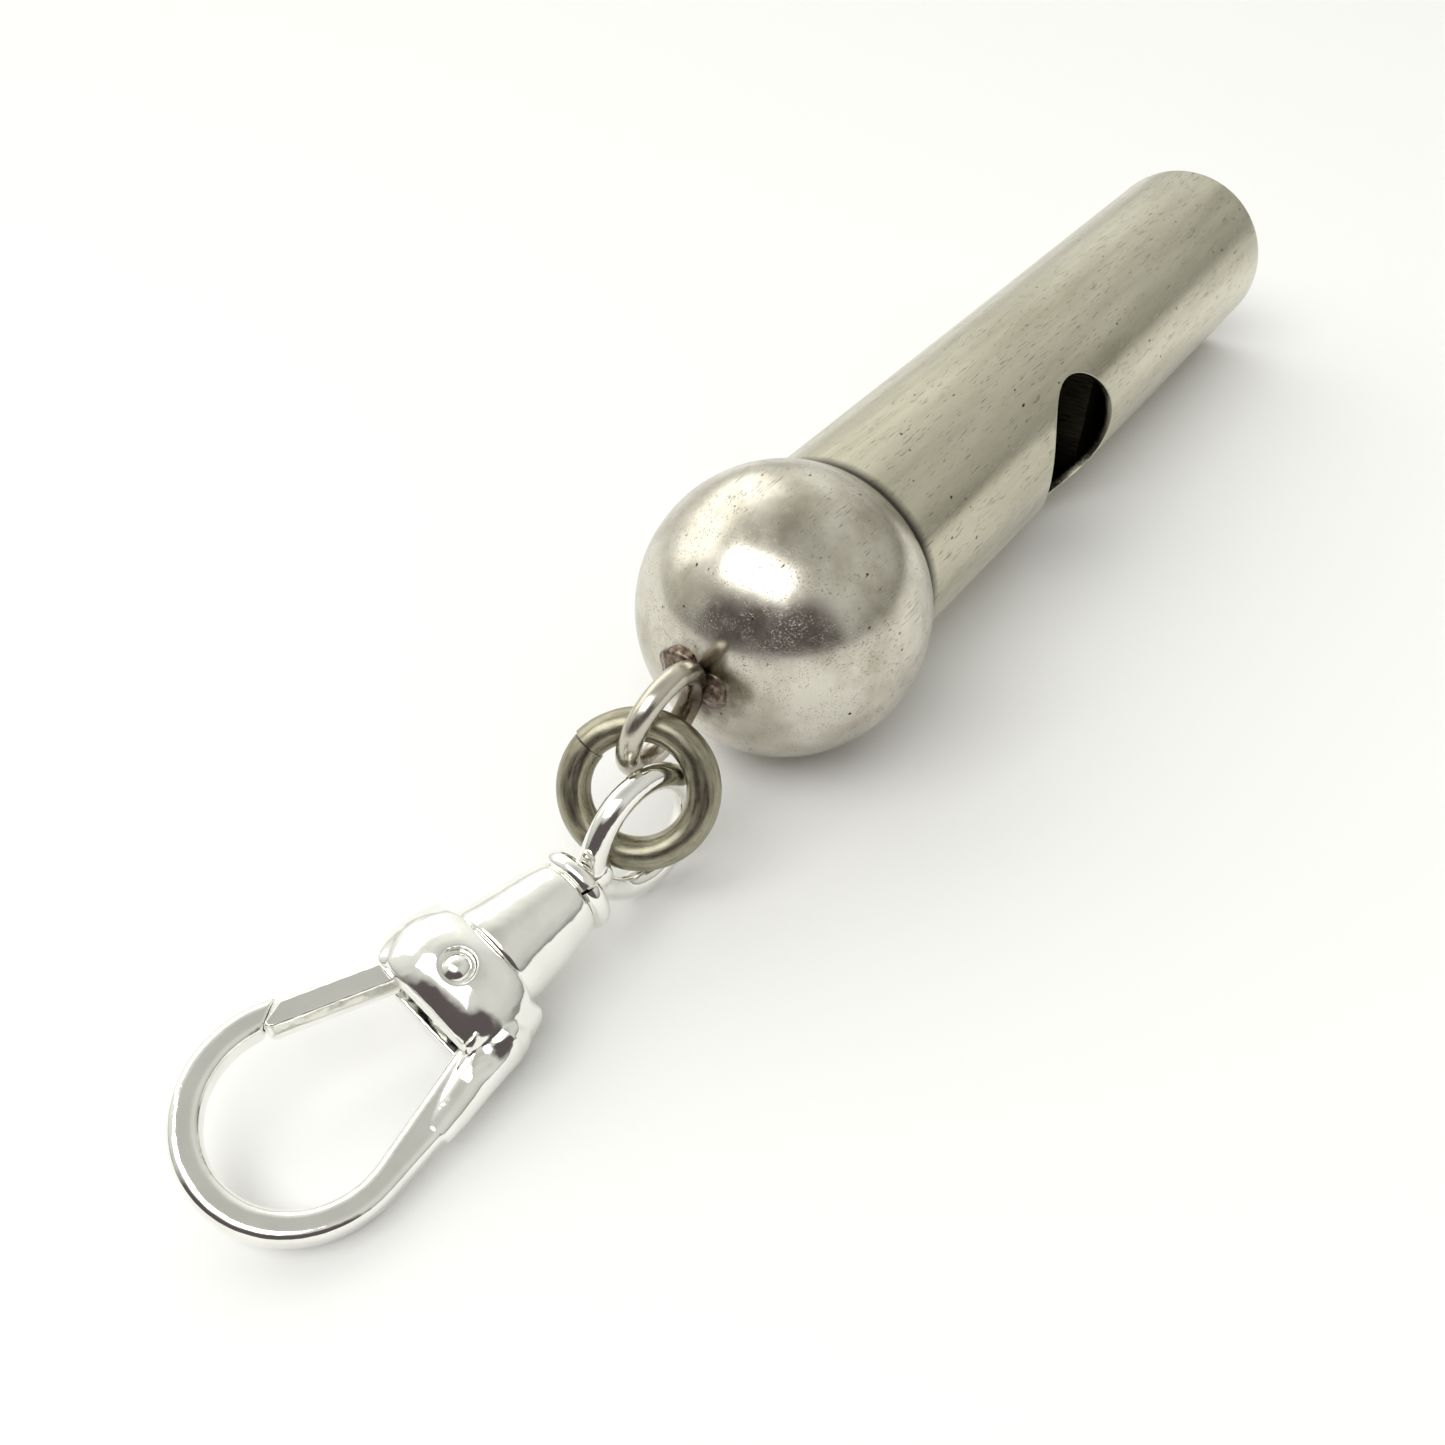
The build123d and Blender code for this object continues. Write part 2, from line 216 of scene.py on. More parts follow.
def worn_silver(name, light, dark, polish, drawn):
    """Old sterling silver: bright where it is handled, yellow-grey where sulphide has settled."""
    made, tree, shader, where = metal(name)
    cloud = noise(tree, where, 2.6, 5.0, 0.6, stretch=(drawn, 1, 1))
    tint = ramp(tree, cloud, ((0.3, dark), (0.62, light)))
    # pits and nicks, 0.1 to 0.3 mm, black with tarnish
    ragged = noise(tree, where, 0.16, 3.0, 0.7)
    spot = add_node(tree, "ShaderNodeMapping", Vector=where, Scale=(900, 1700, 1300))
    cells = add_node(tree, "ShaderNodeTexVoronoi", Vector=spot.outputs[0], Scale=1.0)
    broken = add_node(
        tree, "ShaderNodeMath", {"operation": "MULTIPLY_ADD"}, i0=ragged, i1=0.55,
        i2=cells.outputs["Distance"],
    )
    near = add_node(
        tree, "ShaderNodeMapRange", Value=broken.outputs[0], From_Min=0.36, From_Max=0.32
    )
    chosen = add_node(tree, "ShaderNodeSeparateColor", Color=cells.outputs["Color"])
    few = add_node(
        tree, "ShaderNodeMath", {"operation": "GREATER_THAN"}, i0=chosen.outputs[0], i1=0.55
    )
    pits = add_node(
        tree, "ShaderNodeMath", {"operation": "MULTIPLY"}, i0=near.outputs[0], i1=few.outputs[0]
    )
    # short scratches, 0.03 mm wide, that cross at two angles
    marks = None
    for turn, length in (((0.3, 0.5, 0.6), 16), ((0.9, -0.4, -0.8), 22)):
        line = noise(tree, where, 0.06, 1.0, 0.4, stretch=(length, 1, 1), turn=turn)
        patch = noise(tree, where, 0.9, 2.0, 0.5, turn=turn)
        fine = ramp(tree, line, ((0.64, 0.0), (0.71, 1.0)))
        kept = ramp(tree, patch, ((0.47, 0.0), (0.56, 1.0)))
        both = blended(tree, 1.0, fine, kept, "MULTIPLY")
        marks = both if marks is None else blended(tree, 1.0, marks, both, "LIGHTEN")
    tint = blended(tree, pits.outputs[0], tint, linear("2A2622"))
    scored = add_node(tree, "ShaderNodeMath", {"operation": "MULTIPLY"}, i0=marks, i1=0.6)
    tint = blended(tree, scored.outputs[0], tint, linear("5A544A"))
    haze = noise(tree, where, 0.8, 4.0, 0.65, stretch=(drawn, 1, 1))
    gloss = add_node(
        tree, "ShaderNodeMapRange", Value=haze, From_Min=0.3, From_Max=0.7,
        To_Min=polish[0], To_Max=polish[1],
    )
    tree.links.new(gloss.outputs[0], shader.inputs["Roughness"])
    dents = noise(tree, where, 2.2, 2.0, 0.5, stretch=(drawn, 1, 1))
    hand = add_node(tree, "ShaderNodeBump", Height=dents, Strength=0.10, Distance=0.00008)
    hairs = add_node(
        tree, "ShaderNodeBump", Height=marks, Strength=0.5, Distance=0.00001,
        Normal=hand.outputs[0],
    )
    hairs.invert = True
    tree.links.new(hairs.outputs[0], shader.inputs["Normal"])
    return made, tree, shader, where, tint


ball_silver, tree, shader, where, tint = worn_silver(
    "worn polished silver", "D6D2C6", "ADA797", (0.17, 0.28), 1.0
)
# painted shade: the ball is painted brown-black round the loop's foot, where the loop meets it and
# shade falls
loop_foot = whistle_axes @ Vector((-ball_r, 0, 0)) * MM
gap = add_node(tree, "ShaderNodeVectorMath", {"operation": "DISTANCE"}, i0=where, i1=loop_foot)
edge = noise(tree, where, 0.5, 4.0, 0.7)
ragged_gap = add_node(
    tree, "ShaderNodeMath", {"operation": "MULTIPLY_ADD"}, i0=edge, i1=0.0016,
    i2=gap.outputs["Value"],
)
loop_foot_shade = add_node(
    tree, "ShaderNodeMapRange", Value=ragged_gap.outputs[0], From_Min=0.0019, From_Max=0.0031,
    To_Min=0.85, To_Max=0.0,
)
tint = blended(tree, loop_foot_shade.outputs[0], tint, linear("4A3A2E"))
tree.links.new(tint, shader.inputs["Base Color"])
ball.data.materials.append(ball_silver)
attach(ball, "whistle")
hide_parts("ball_front", "ball_rear")

# ---- whistle tube: drawn silver tube with one round window drilled square into its side, its
# ---- mouth edge rounded over. The drawing marks run along it, under a grey-green patina.

tube_wall, tube_from = 0.4, 2.33
window_at, window_r, window_turn = 20.9, 3.8, radians(95)
mouth_round = 0.14
rim_round = 0.07
patch_half_long, patch_half_wide = 5.2, radians(56)
patch_steps = 48
# rows of faces: spread from the window to the patch's edge, round the rest of the wall, along
# the wall on either side of the patch, and round the mouth's and the window's small rounds
spread_rows, rest_steps = 9, 150
rows_before, rows_after = 24, 36
mouth_steps, rim_steps = 6, 5


def window_patch(radius, offset):
    """Rings of points from the window's edge out to a rectangle on one wall of the tube."""
    rings = []
    sides = 4 * patch_steps
    growth = [offset, offset + 0.05, offset + 0.15] + [None] * spread_rows
    for ring, grow in enumerate(growth):
        row = []
        for step in range(sides):
            side, place = divmod(step, patch_steps)
            run = -1 + 2 * place / patch_steps
            square = ((run, -1), (1, run), (-run, 1), (-1, -run))[side]
            edge_long, edge_turn = square[0] * patch_half_long, square[1] * patch_half_wide
            angle = atan2(square[1], square[0])
            share = 0.0 if grow is not None else (ring - 2) / spread_rows
            drilled = window_r + (growth[2] if grow is None else grow)
            hole_long = drilled * cos(angle)
            hole_turn = asin(min(1.0, drilled * sin(angle) / radius))
            at = hole_long + (edge_long - hole_long) * share
            turn = hole_turn + (edge_turn - hole_turn) * share
            row.append((at, turn))
        rings.append(row)
    return rings


def on_tube(at, turn, radius):
    """Point on the tube from its place along it and its turn from straight up."""
    whole = turn + window_turn
    # turned from straight up towards the near side, which is -y
    return whistle_axes @ Vector((at, -radius * sin(whole), radius * cos(whole))) * MM


def tube_mesh(name):
    """The tube's closed skin: outer wall, bore, rounded mouth, square end and window."""
    points, faces, index = [], [], {}

    def vertex(at, turn, radius):
        spot = on_tube(at, turn, radius)
        key = (round(spot.x * 1e8), round(spot.y * 1e8), round(spot.z * 1e8))
        if key not in index:
            index[key] = len(points)
            points.append(spot)
        return index[key]

    def band(first, second, closed=True):
        count = len(first)
        for step in range(count if closed else count - 1):
            after = (step + 1) % count
            quad = (first[step], first[after], second[after], second[step])
            if len(set(quad)) > 2:
                faces.append(quad)

    edge_rows = []
    for radius, inset in ((tube_r, rim_round), (tube_r - tube_wall, 0.0)):
        rings = [[vertex(at + window_at, turn, radius) for at, turn in row]
                 for row in window_patch(radius, inset)]
        for first, second in zip(rings, rings[1:]):
            band(first, second)
        edge_rows.append(rings[0])
        # the rest of the wall, in rows that meet the patch's own points
        inside = [-1 + 2 * i / patch_steps for i in range(patch_steps + 1)]
        turns = [patch_half_wide * i for i in inside]
        rest = 2 * pi - 2 * patch_half_wide
        turns_round = turns + [
            patch_half_wide + rest * i / rest_steps for i in range(1, rest_steps)
        ]
        start, end = tube_from, tube_to - mouth_round
        low, high = window_at - patch_half_long, window_at + patch_half_long
        ats_low = list(np.linspace(start, low, rows_before))
        ats_mid = [window_at + patch_half_long * i for i in inside]
        ats_high = list(np.linspace(high, end, rows_after))
        for ats, whole in ((ats_low, True), (ats_mid, False), (ats_high, True)):
            ring_turns = turns_round if whole else turns_round[patch_steps:] + turns_round[:1]
            rows = [[vertex(at, turn, radius) for turn in ring_turns] for at in ats]
            for first, second in zip(rows, rows[1:]):
                band(first, second, closed=whole)
        # the rounded mouth edge, and the square end inside the ball
        mouth = [vertex(end, turn, radius) for turn in turns_round]
        if radius == tube_r:
            outer_mouth, outer_start = mouth, [vertex(start, t, radius) for t in turns_round]
            for i in range(1, mouth_steps + 1):
                swing = pi * i / (2 * mouth_steps)
                at = end + mouth_round * sin(swing)
                out = tube_r - mouth_round * (1 - cos(swing))
                row = [vertex(at, turn, out) for turn in turns_round]
                band(outer_mouth, row)
                outer_mouth = row
        else:
            for i in range(1, mouth_steps + 1):
                swing = pi * i / (2 * mouth_steps)
                at = end + mouth_round * sin(swing)
                out = tube_r - tube_wall + mouth_round * (1 - cos(swing))
                row = [vertex(at, turn, out) for turn in turns_round]
                band(mouth, row)
                mouth = row
            band(outer_mouth, mouth)
            band(outer_start, [vertex(start, t, radius) for t in turns_round])
    # the window's wall: a small round, then straight through to the bore
    outer_edge, bore_edge = edge_rows
    rows = [outer_edge]
    for i in range(1, rim_steps + 1):
        swing = pi * i / (2 * rim_steps)
        inset = rim_round * (1 - sin(swing))
        drop = rim_round * (1 - cos(swing))
        row = window_patch(tube_r - drop, inset)[0]
        rows.append([vertex(at + window_at, turn, tube_r - drop) for at, turn in row])
    rows.append(bore_edge)
    for first, second in zip(rows, rows[1:]):
        band(first, second)
    mesh = bpy.data.meshes.new(name)
    mesh.from_pydata(points, [], faces)
    outward(mesh)
    return mesh


tube = as_object("whistle_tube_skin", tube_mesh("whistle_tube_skin"), 45)
tube_silver, tree, shader, where, tint = worn_silver(
    "drawn silver under patina", "D0CCB9", "ABA792", (0.18, 0.28), 9.0
)
# painted shade: the tube is painted near black in the groove against the ball and all through the
# bore, where shade falls
gap = add_node(
    tree, "ShaderNodeVectorMath", {"operation": "DISTANCE"}, i0=where, i1=ball_centre * MM
)
groove_shade = add_node(
    tree, "ShaderNodeMapRange", Value=gap.outputs["Value"], From_Min=0.00682, From_Max=0.0072,
    To_Min=0.92, To_Max=0.0,
)
tint = blended(tree, groove_shade.outputs[0], tint, linear("26221C"))
from_ball = add_node(
    tree, "ShaderNodeVectorMath", {"operation": "SUBTRACT"}, i0=where, i1=ball_centre * MM
)
off_axis = add_node(
    tree, "ShaderNodeVectorMath", {"operation": "CROSS_PRODUCT"}, i0=from_ball.outputs[0],
    i1=along_tube,
)
from_axis = add_node(tree, "ShaderNodeVectorMath", {"operation": "LENGTH"}, i0=off_axis.outputs[0])
# painted shade: the whole bore is painted near black
bore = add_node(
    tree, "ShaderNodeMapRange", Value=from_axis.outputs["Value"], From_Min=0.00487,
    From_Max=0.00505, To_Min=0.97, To_Max=0.0,
)
tint = blended(tree, bore.outputs[0], tint, linear("17150F"))
tree.links.new(tint, shader.inputs["Base Color"])
tube.data.materials.append(tube_silver)
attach(tube, "whistle")
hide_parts("whistle_tube")

# ---- windway block and stopper: a silver plug that leaves a flat slot for the breath, and a disc
# ---- that closes the tube inside the ball. Both are filed and left dull, and dark with age.

block_silver, tree, shader, where = metal("filed silver, blackened")
filed = noise(tree, where, 0.12, 3.0, 0.6, stretch=(1, 9, 1))
tree.links.new(ramp(tree, filed, ((0.3, "3B372E"), (0.7, "6E6858"))), shader.inputs["Base Color"])
shader.inputs["Roughness"].default_value = 0.48
rough = add_node(tree, "ShaderNodeBump", Height=filed, Strength=0.4, Distance=0.00002)
tree.links.new(rough.outputs[0], shader.inputs["Normal"])
for part_name in ("windway_block", "tube_stopper"):
    frame["nodes"][part_name].data.materials.clear()
    frame["nodes"][part_name].data.materials.append(block_silver)

# ---- ball loop: a ring of drawn silver wire let into the ball's back and soldered there. It is
# ---- rubbed bright on the outside by the split ring, and painted dark brown near its foot as
# shade.

loop_mid_r, loop_wire_r, loop_out = 2.25, 0.52, 9.27
loop_turn = radians(15)
drift_from = 0.93


def wire_tree():
    """Geometry Nodes: sweep a round wire along the object's curve, its ends closed flat."""
    made = bpy.data.node_groups.new("drawn wire", "GeometryNodeTree")
    face = made.interface
    face.new_socket("Path", in_out="INPUT", socket_type="NodeSocketGeometry")
    radius = face.new_socket("Wire radius", in_out="INPUT", socket_type="NodeSocketFloat")
    sides = face.new_socket("Wire sides", in_out="INPUT", socket_type="NodeSocketInt")
    metal_in = face.new_socket("Metal", in_out="INPUT", socket_type="NodeSocketMaterial")
    face.new_socket("Wire", in_out="OUTPUT", socket_type="NodeSocketGeometry")
    radius.default_value, sides.default_value = 0.0005, 48
    start = made.nodes.new("NodeGroupInput")
    end = made.nodes.new("NodeGroupOutput")
    profile = made.nodes.new("GeometryNodeCurvePrimitiveCircle")
    sweep = made.nodes.new("GeometryNodeCurveToMesh")
    sweep.inputs["Fill Caps"].default_value = True
    whole = made.nodes.new("GeometryNodeRealizeInstances")
    coat = made.nodes.new("GeometryNodeSetMaterial")
    for first, second in (
        (start.outputs["Path"], sweep.inputs["Curve"]),
        (start.outputs["Wire radius"], profile.inputs["Radius"]),
        (start.outputs["Wire sides"], profile.inputs["Resolution"]),
        (profile.outputs["Curve"], sweep.inputs["Profile Curve"]),
        (sweep.outputs["Mesh"], whole.inputs["Geometry"]),
        (whole.outputs["Geometry"], coat.inputs["Geometry"]),
        (start.outputs["Metal"], coat.inputs["Material"]),
        (coat.outputs["Geometry"], end.inputs["Wire"]),
    ):
        made.links.new(first, second)
    return made, radius.identifier, sides.identifier, metal_in.identifier


wire_nodes, wire_radius_in, wire_sides_in, wire_metal_in = wire_tree()


def bent_wire(name, path, wire_r, coat, closed, sides=48):
    """A wire of one radius along a path of mm points, made by the drawn-wire nodes."""
    curve = bpy.data.curves.new(name + "_path", "CURVE")
    curve.dimensions = "3D"
    curve.twist_mode = "MINIMUM"
    spline = curve.splines.new("POLY")
    spline.points.add(len(path) - 1)
    for point, spot in zip(spline.points, path):
        point.co = (*(spot * MM), 1.0)
    spline.use_cyclic_u = closed
    carrier = bpy.data.objects.new(name + "_path", curve)
    bpy.context.scene.collection.objects.link(carrier)
    sweep = carrier.modifiers.new("wire", "NODES")
    sweep.node_group = wire_nodes
    sweep[wire_radius_in] = wire_r * MM
    sweep[wire_sides_in] = sides
    sweep[wire_metal_in] = coat
    live = bpy.context.evaluated_depsgraph_get()
    mesh = bpy.data.meshes.new_from_object(carrier.evaluated_get(live))
    mesh.name = name
    bpy.data.objects.remove(carrier)
    outward(mesh)
    return as_object(name, mesh, 50)


def ring_path(place, radius, start=0.0, sweep=360.0, steps=180, drift=0.0):
    """Points round a circle in the local x-y plane; drift carries the far end off the circle."""
    whole = sweep >= 360.0
    count = steps if whole else steps + 1
    spots = []
    for i in range(count):
        turn = radians(start + sweep * i / steps)
        swell = radius + drift * max(0.0, i / steps - drift_from) / (1 - drift_from)
        spots.append(place @ Vector((swell * cos(turn), swell * sin(turn), 0)))
    return spots


loop_centre = whistle_axes @ Vector((-loop_out, 0, 0))
loop_axes = (
    Matrix.Translation(loop_centre)
    @ Matrix.Rotation(loop_turn, 4, along_tube)
    @ Matrix.Translation(-loop_centre)
    @ axes(loop_centre, along_tube, (0, 0, 1))
    @ Matrix.Rotation(pi / 2, 4, "X")
)
loop_silver, tree, shader, where = metal("silver wire, rubbed bright")
# painted shade: the wire is painted dark brown near where it meets the ball
away = add_node(tree, "ShaderNodeVectorMath", {"operation": "DISTANCE"}, i0=where, i1=loop_foot)
mottle = noise(tree, where, 0.7, 4.0, 0.6)
foot_shade_reach = add_node(
    tree, "ShaderNodeMath", {"operation": "MULTIPLY_ADD"}, i0=mottle, i1=0.0022,
    i2=away.outputs["Value"],
)
clear_of_foot_shade = add_node(
    tree, "ShaderNodeMapRange", Value=foot_shade_reach.outputs[0], From_Min=0.0015, From_Max=0.005
)
tint = ramp(tree, clear_of_foot_shade.outputs[0], ((0.0, "43362B"), (0.35, "857A6A"), (0.75, "C6C1B4")))
tree.links.new(tint, shader.inputs["Base Color"])
shine = add_node(
    tree, "ShaderNodeMapRange", Value=mottle, From_Min=0.3, From_Max=0.7, To_Min=0.16, To_Max=0.32
)
tree.links.new(shine.outputs[0], shader.inputs["Roughness"])
rubbed = noise(tree, where, 0.6, 3.0, 0.5)
wear = add_node(tree, "ShaderNodeBump", Height=rubbed, Strength=0.25, Distance=0.00005)
tree.links.new(wear.outputs[0], shader.inputs["Normal"])
loop = bent_wire(
    "ball_loop_wire", ring_path(loop_axes, loop_mid_r), loop_wire_r, loop_silver, True
)
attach(loop, "whistle")
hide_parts("ball_loop")

# ---- solder: a lump run round each side of the loop's foot, left as it set, dull and brown, with
# ---- painted highlights: yellow glints painted into its colour.

# how far a lump sinks in the ball, and how thin it is along the tube, as shares of its radius
lump_sunk, lump_thin = 0.25, 0.62
solder_metal, tree, shader, where = metal("browned silver solder")
skin = noise(tree, where, 0.35, 5.0, 0.65)
# painted highlight: the palest, yellow stop paints glints into the solder's colour
tree.links.new(
    ramp(tree, skin, ((0.3, "3A3029"), (0.5, "7B6C62"), (0.62, "A2937F"), (0.72, "C9B27A"))),
    shader.inputs["Base Color"],
)
shader.inputs["Roughness"].default_value = 0.34
lumps = add_node(tree, "ShaderNodeBump", Height=skin, Strength=0.55, Distance=0.00008)
tree.links.new(lumps.outputs[0], shader.inputs["Normal"])


def solder_lump(name, radius, side, up):
    """A lump of solder: a flattened ball on the silver, pulled out of round."""
    build = bmesh.new()
    bmesh.ops.create_icosphere(build, subdivisions=5, radius=radius * MM)
    way = Vector((-ball_r, 0, 0)) + Vector((0, side, up))
    seat = whistle_axes @ (way.normalized() * (ball_r - lump_sunk * radius))
    for vertex in build.verts:
        spot = vertex.co
        pull = 1 + 0.12 * sin(5200 * spot.x + 2.0 * side) * sin(4100 * spot.z + 1.3)
        spot.x *= lump_thin
        vertex.co = spot * pull + seat * MM
    mesh = bpy.data.meshes.new(name)
    build.to_mesh(mesh)
    build.free()
    made = as_object(name, mesh)
    made.data.materials.append(solder_metal)
    return made


for lump_name, radius, side, up, node_name in (
    ("solder_lump_near", 0.85, -0.65, 0.0, "solder_near"),
    ("solder_lump_far", 1.15, 0.95, 0.55, "solder_far"),
):
    lump = solder_lump(lump_name, radius, side, up)
    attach(lump, "whistle")
    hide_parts(node_name)

# ---- split ring: nickel-silver wire bent round and butted, its cut ends a hair out of line. Dull
# ---- olive grey, with lengthwise marks from drawing and a brighter patch where it has rubbed.

ring_mid_r, ring_wire_r = 2.72, 0.73
ring_centre = Vector((-18.485, -0.31, 5.04))
split_half_gap, split_at = 0.6, 247.0
ring_normal = Vector((-0.695458, -0.432872, 0.573551))
ring_x = Vector((-0.63625, 0.0, -0.771483))
ring_axes = axes(ring_centre, ring_x, ring_normal)
nickel, tree, shader, where = metal("dull nickel silver wire")
turned_about = add_node(
    tree, "ShaderNodeMapping", {"vector_type": "TEXTURE"}, Vector=where,
    Location=ring_centre * MM, Rotation=ring_axes.to_euler(),
)
flat = add_node(tree, "ShaderNodeSeparateXYZ", Vector=turned_about.outputs[0])
from_axis = add_node(
    tree, "ShaderNodeMath", {"operation": "MULTIPLY"}, i0=flat.outputs[0], i1=flat.outputs[0]
)
from_axis = add_node(
    tree, "ShaderNodeMath", {"operation": "MULTIPLY_ADD"}, i0=flat.outputs[1], i1=flat.outputs[1],
    i2=from_axis.outputs[0],
)
from_axis = add_node(tree, "ShaderNodeMath", {"operation": "SQRT"}, i0=from_axis.outputs[0])
turn_round = add_node(
    tree, "ShaderNodeMath", {"operation": "ARCTAN2"}, i0=flat.outputs[1], i1=flat.outputs[0]
)
turn_slow = add_node(
    tree, "ShaderNodeMath", {"operation": "MULTIPLY"}, i0=turn_round.outputs[0], i1=0.00035
)
along_wire = add_node(
    tree, "ShaderNodeCombineXYZ", X=turn_slow.outputs[0], Y=from_axis.outputs[0], Z=flat.outputs[2]
)
streak = noise(tree, along_wire.outputs[0], 0.11, 3.0, 0.6)
bloom = noise(tree, where, 0.9, 4.0, 0.6)
tint = blended(
    tree, 0.45, ramp(tree, bloom, ((0.3, "7A7662"), (0.65, "A8A48F"))),
    ramp(tree, streak, ((0.3, "6C6856"), (0.7, "B9B5A2"))),
)
tree.links.new(tint, shader.inputs["Base Color"])
shine = add_node(
    tree, "ShaderNodeMapRange", Value=streak, From_Min=0.3, From_Max=0.7, To_Min=0.24, To_Max=0.38
)
tree.links.new(shine.outputs[0], shader.inputs["Roughness"])
marks = add_node(tree, "ShaderNodeBump", Height=streak, Strength=0.35, Distance=0.00001)
tree.links.new(marks.outputs[0], shader.inputs["Normal"])
split_path = ring_path(
    ring_axes, ring_mid_r, split_at + split_half_gap, 360 - 2 * split_half_gap, drift=0.07
)
split_ring = bent_wire("split_ring_wire", split_path, ring_wire_r, nickel, False, sides=64)
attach(split_ring, "ring")
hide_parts("jump_ring")

# ---- swivel eye: cast eye on a stem that turns in the barrel's end, silver plated and polished
# ---- to a mirror. The eye swells into the stem with no seam.

joints = {joint["name"]: joint for joint in frame["joints"]}
clasp_origin = Vector(joints["gate_hinge"]["pos_m"]) / MM
clasp_along = Vector(joints["clasp_swivel"]["axis"])
clasp_up = Vector(joints["gate_hinge"]["axis"])
clasp_axes = axes(clasp_origin, clasp_along, clasp_up)
eye_mid_r, eye_wire_r, eye_at = 2.62, 0.58, 10.1
eye_tail, eye_steps = 0.32, 200
eye_turn = radians(90.3)
stem_r, stem_from = 0.6, 5.2


def silver_plate(name, tone, gloss, ripple):
    """Bright silver plate over a cast body: a mirror, with the casting's faint ripples under it."""
    made, tree, shader, where = metal(name, gloss)
    film = noise(tree, where, 1.6, 3.0, 0.5)
    tint = ramp(tree, film, ((0.35, tone), (0.7, "FAF9F5")))
    soft = noise(tree, where, 1.3, 2.0, 0.5)
    fine = noise(tree, where, 0.10, 2.0, 0.5)
    cast = add_node(tree, "ShaderNodeBump", Height=soft, Strength=ripple, Distance=0.00012)
    polish = add_node(
        tree, "ShaderNodeBump", Height=fine, Strength=0.10, Distance=0.000006,
        Normal=cast.outputs[0],
    )
    tree.links.new(polish.outputs[0], shader.inputs["Normal"])
    # painted shade: where the attribute is set, the plate is tinted dark to stand in for the shade
    # in the hook's mouth
    painted_shade = add_node(tree, "ShaderNodeAttribute", {"attribute_name": "painted_shade"})
    tint = blended(tree, painted_shade.outputs["Fac"], tint, linear("2B2823"))
    tree.links.new(tint, shader.inputs["Base Color"])
    return made


plate = silver_plate("mirror silver plate", "F0F0EA", 0.09, 0.35)


def fused(name, pieces, voxel, rounds, reshape=None):
    """Join closed meshes into one skin by voxels of the given mm size, then smooth the steps."""
    joined = bmesh.new()
    for piece in pieces:
        joined.from_mesh(piece)
    mesh = bpy.data.meshes.new(name)
    joined.to_mesh(mesh)
    joined.free()
    carrier = bpy.data.objects.new(name + "_raw", mesh)
    bpy.context.scene.collection.objects.link(carrier)
    cast = carrier.modifiers.new("cast", "REMESH")
    cast.mode = "VOXEL"
    cast.voxel_size = voxel * MM
    if reshape is not None:
        live = bpy.context.evaluated_depsgraph_get()
        carrier.data = bpy.data.meshes.new_from_object(carrier.evaluated_get(live))
        carrier.modifiers.clear()
        for vertex in carrier.data.vertices:
            vertex.co = reshape(vertex.co / MM) * MM
    soften = carrier.modifiers.new("soften", "SMOOTH")
    soften.factor = 0.5
    soften.iterations = rounds
    live = bpy.context.evaluated_depsgraph_get()
    done = bpy.data.meshes.new_from_object(carrier.evaluated_get(live))
    done.name = name
    bpy.data.objects.remove(carrier)
    done.materials.clear()
    return as_object(name, done)


eye_axes = axes(clasp_axes @ Vector((eye_at, 0, 0)), clasp_along, Vector((0, 0, 1)))
eye_axes = eye_axes @ Matrix.Rotation(eye_turn, 4, "X")
eye_path = []
for i in range(eye_steps):
    turn = 2 * pi * i / eye_steps
    tail = max(0.0, -cos(turn)) ** 8 * eye_tail
    eye_path.append(eye_axes @ Vector(((eye_mid_r + tail) * cos(turn), eye_mid_r * sin(turn), 0)))
eye_wire = bent_wire("eye_wire", eye_path, eye_wire_r, plate, True)
stem_outline = [
    (stem_from, 0), (stem_from, stem_r), (6.55, stem_r), (6.75, stem_r + 0.04),
    (7.1, 0.72), (7.5, 0.74), (7.8, 0.62), (7.95, 0.3), (8.0, 0),
]
stem = turned_piece("eye_stem", stem_outline, clasp_axes, 64)
eye = fused("swivel_eye_cast", [eye_wire.data, stem.data], 0.05, 8)
for spent in (eye_wire, stem):
    bpy.data.objects.remove(spent)
eye.data.materials.append(plate)
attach(eye, "eye")
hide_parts("swivel_eye")

# ---- barrel: a tapered silver-plated tube, closed round the stem and spun to a soft shoulder at
# ---- each end. Polished along its length, so its reflections run in long streaks.

barrel_outline = [
    (1.55, 1.7), (1.55, 2.18), (1.62, 2.26), (1.75, 2.30), (2.2, 2.27), (3.2, 2.13), (4.4, 1.955),
    (5.3, 1.80), (5.55, 1.74), (5.68, 1.68), (5.75, 1.55), (5.75, 0.98), (6.60, 0.98),
    (6.63, 0.95), (6.63, 0.68), (5.05, 0.68), (5.05, 1.3), (1.55, 1.7),
]
barrel = turned_piece("barrel_spun", barrel_outline, clasp_axes, 192, 50)
barrel.data.materials.append(plate)
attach(barrel, "clasp")
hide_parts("barrel")

# ---- bead: a ring of plated wire sprung into the neck behind the barrel, its ends not quite
# ---- meeting.

bead_mid_r, bead_wire_r, bead_at = 1.42, 0.44, 6.19
bead_slit_at, bead_half_slit = 118.0, 2.4
bead_axes = clasp_axes @ Matrix.Translation((bead_at, 0, 0)) @ Matrix(
    ((0, 0, 1, 0), (1, 0, 0, 0), (0, 1, 0, 0), (0, 0, 0, 1))
)
bead_path = ring_path(
    bead_axes, bead_mid_r, bead_slit_at + bead_half_slit, 360 - 2 * bead_half_slit, 120
)
bead = bent_wire("bead_wire", bead_path, bead_wire_r, plate, False)
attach(bead, "clasp")
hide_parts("bead")

# ---- hook: knuckle, fixed hook and tip cast in one, then plated. The leg flares out of the
# ---- knuckle's side, and the wire of the hook has a flat on top with softened corners.

